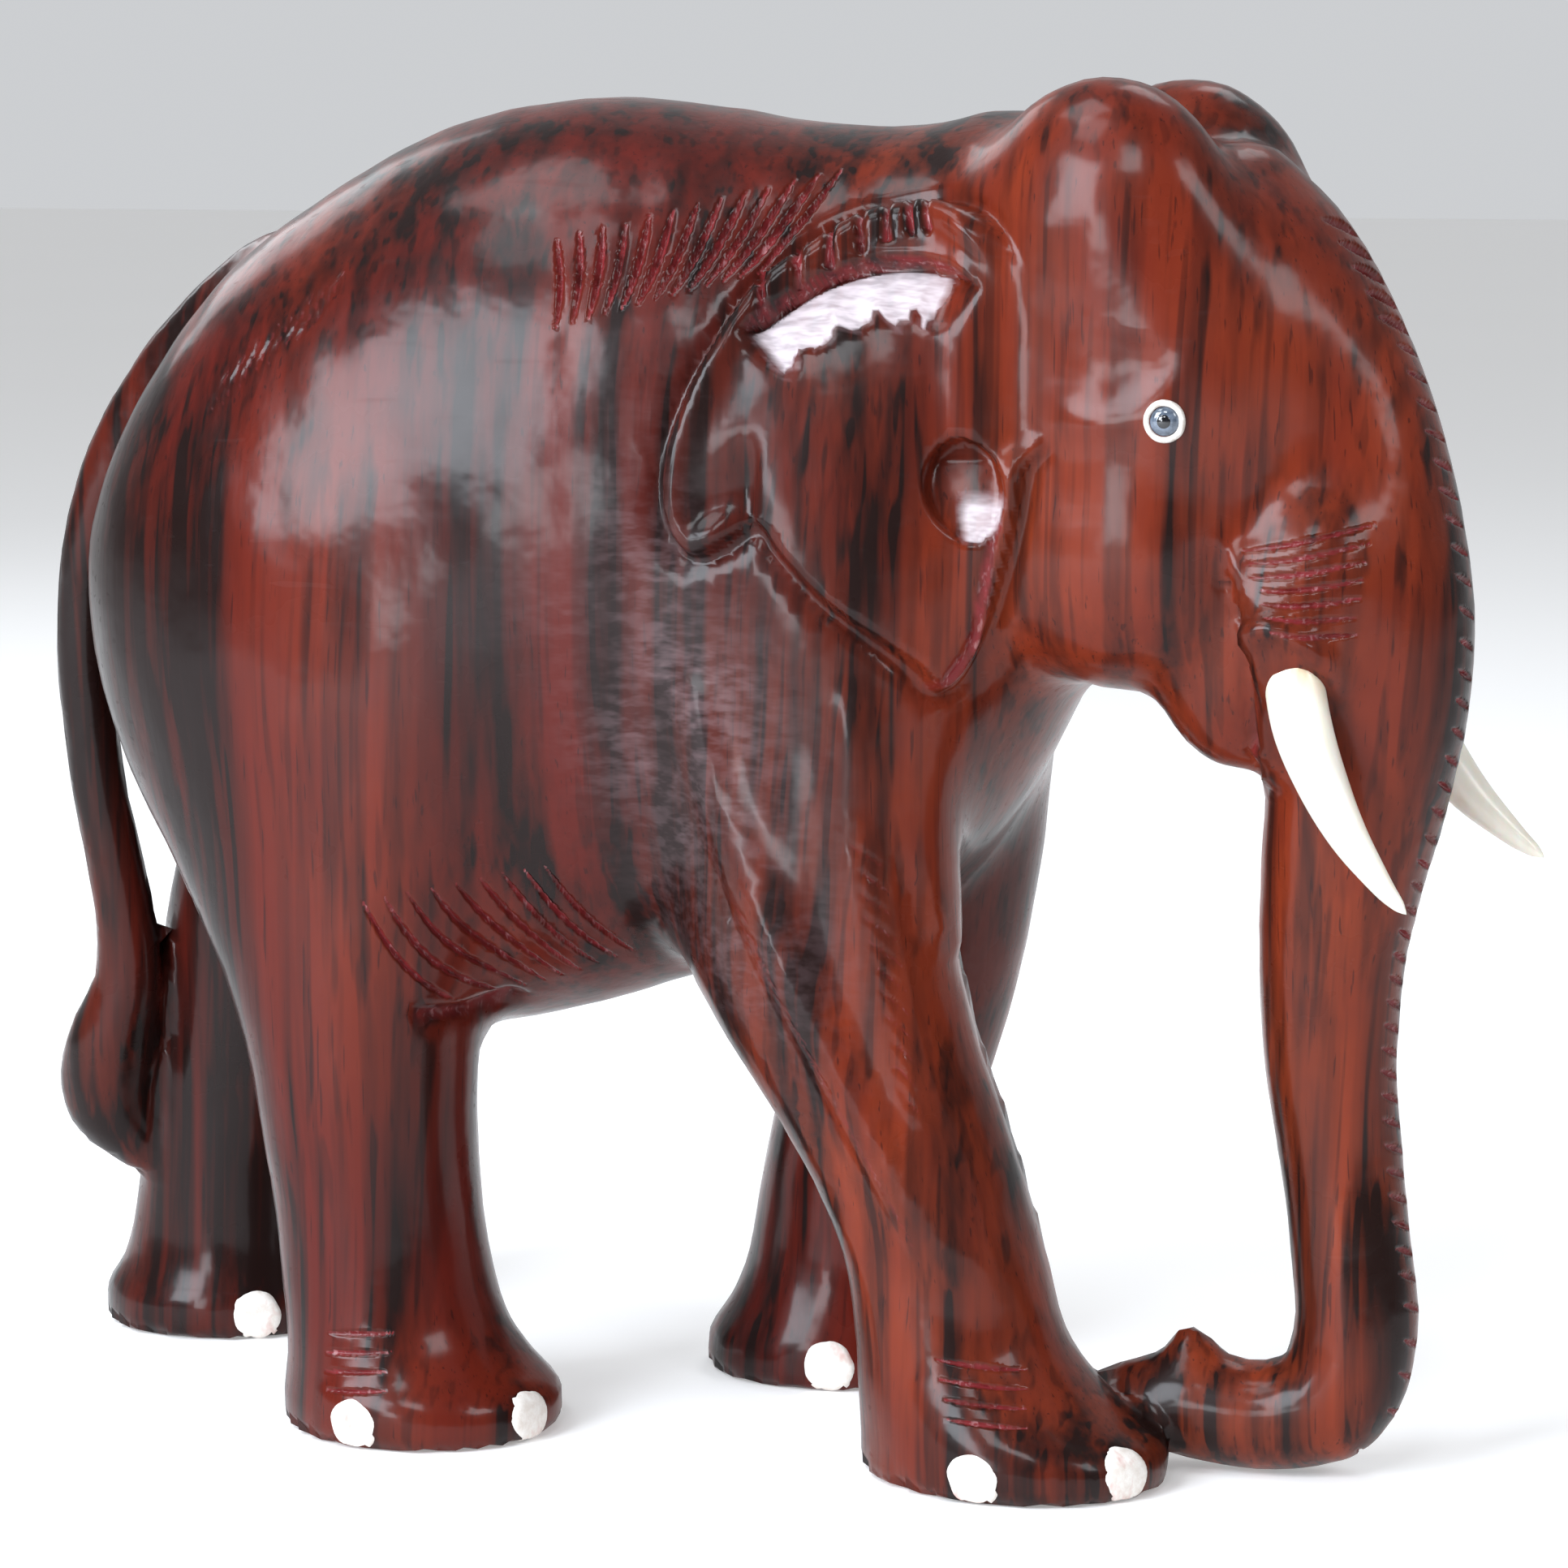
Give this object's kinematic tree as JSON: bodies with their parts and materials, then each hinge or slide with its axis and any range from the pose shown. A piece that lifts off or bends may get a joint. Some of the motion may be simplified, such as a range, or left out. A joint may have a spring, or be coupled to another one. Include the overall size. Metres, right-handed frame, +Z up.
{
  "type": "carved wooden elephant",
  "caption": "Hand-carved dark hardwood elephant in a walking pose, trunk curled back to the front foot, with inlaid white tusks, ringed eyes and white toenails",
  "frame": {"origin": "middle of the figure on the ground, under the bounding box centre", "axes": "+X to the head and trunk, +Y to the elephant's left side, +Z up"},
  "size_m": [0.1809, 0.0714, 0.15],
  "materials": {
    "rosewood": "gloss lacquer over dark striped grain",
    "ivory_white": "satin polished",
    "eye_ring": "matte",
    "eye_bead": "glassy",
    "eye_pupil": "glassy",
    "nail_white": "chalky, cut flush"
  },
  "bodies": {
    "root": {"body": "rosewood", "tusk_right": "ivory_white", "tusk_left": "ivory_white", "eye_ring_right": "eye_ring", "eye_bead_right": "eye_bead", "eye_pupil_right": "eye_pupil", "eye_ring_left": "eye_ring", "eye_bead_left": "eye_bead", "eye_pupil_left": "eye_pupil", "nail_front_right_1": "nail_white", "nail_front_right_2": "nail_white", "nail_front_right_3": "nail_white", "nail_front_left_1": "nail_white", "nail_front_left_2": "nail_white", "nail_front_left_3": "nail_white", "nail_hind_right_1": "nail_white", "nail_hind_right_2": "nail_white", "nail_hind_right_3": "nail_white", "nail_hind_left_1": "nail_white", "nail_hind_left_2": "nail_white", "nail_hind_left_3": "nail_white"}
  },
  "joints": []
}
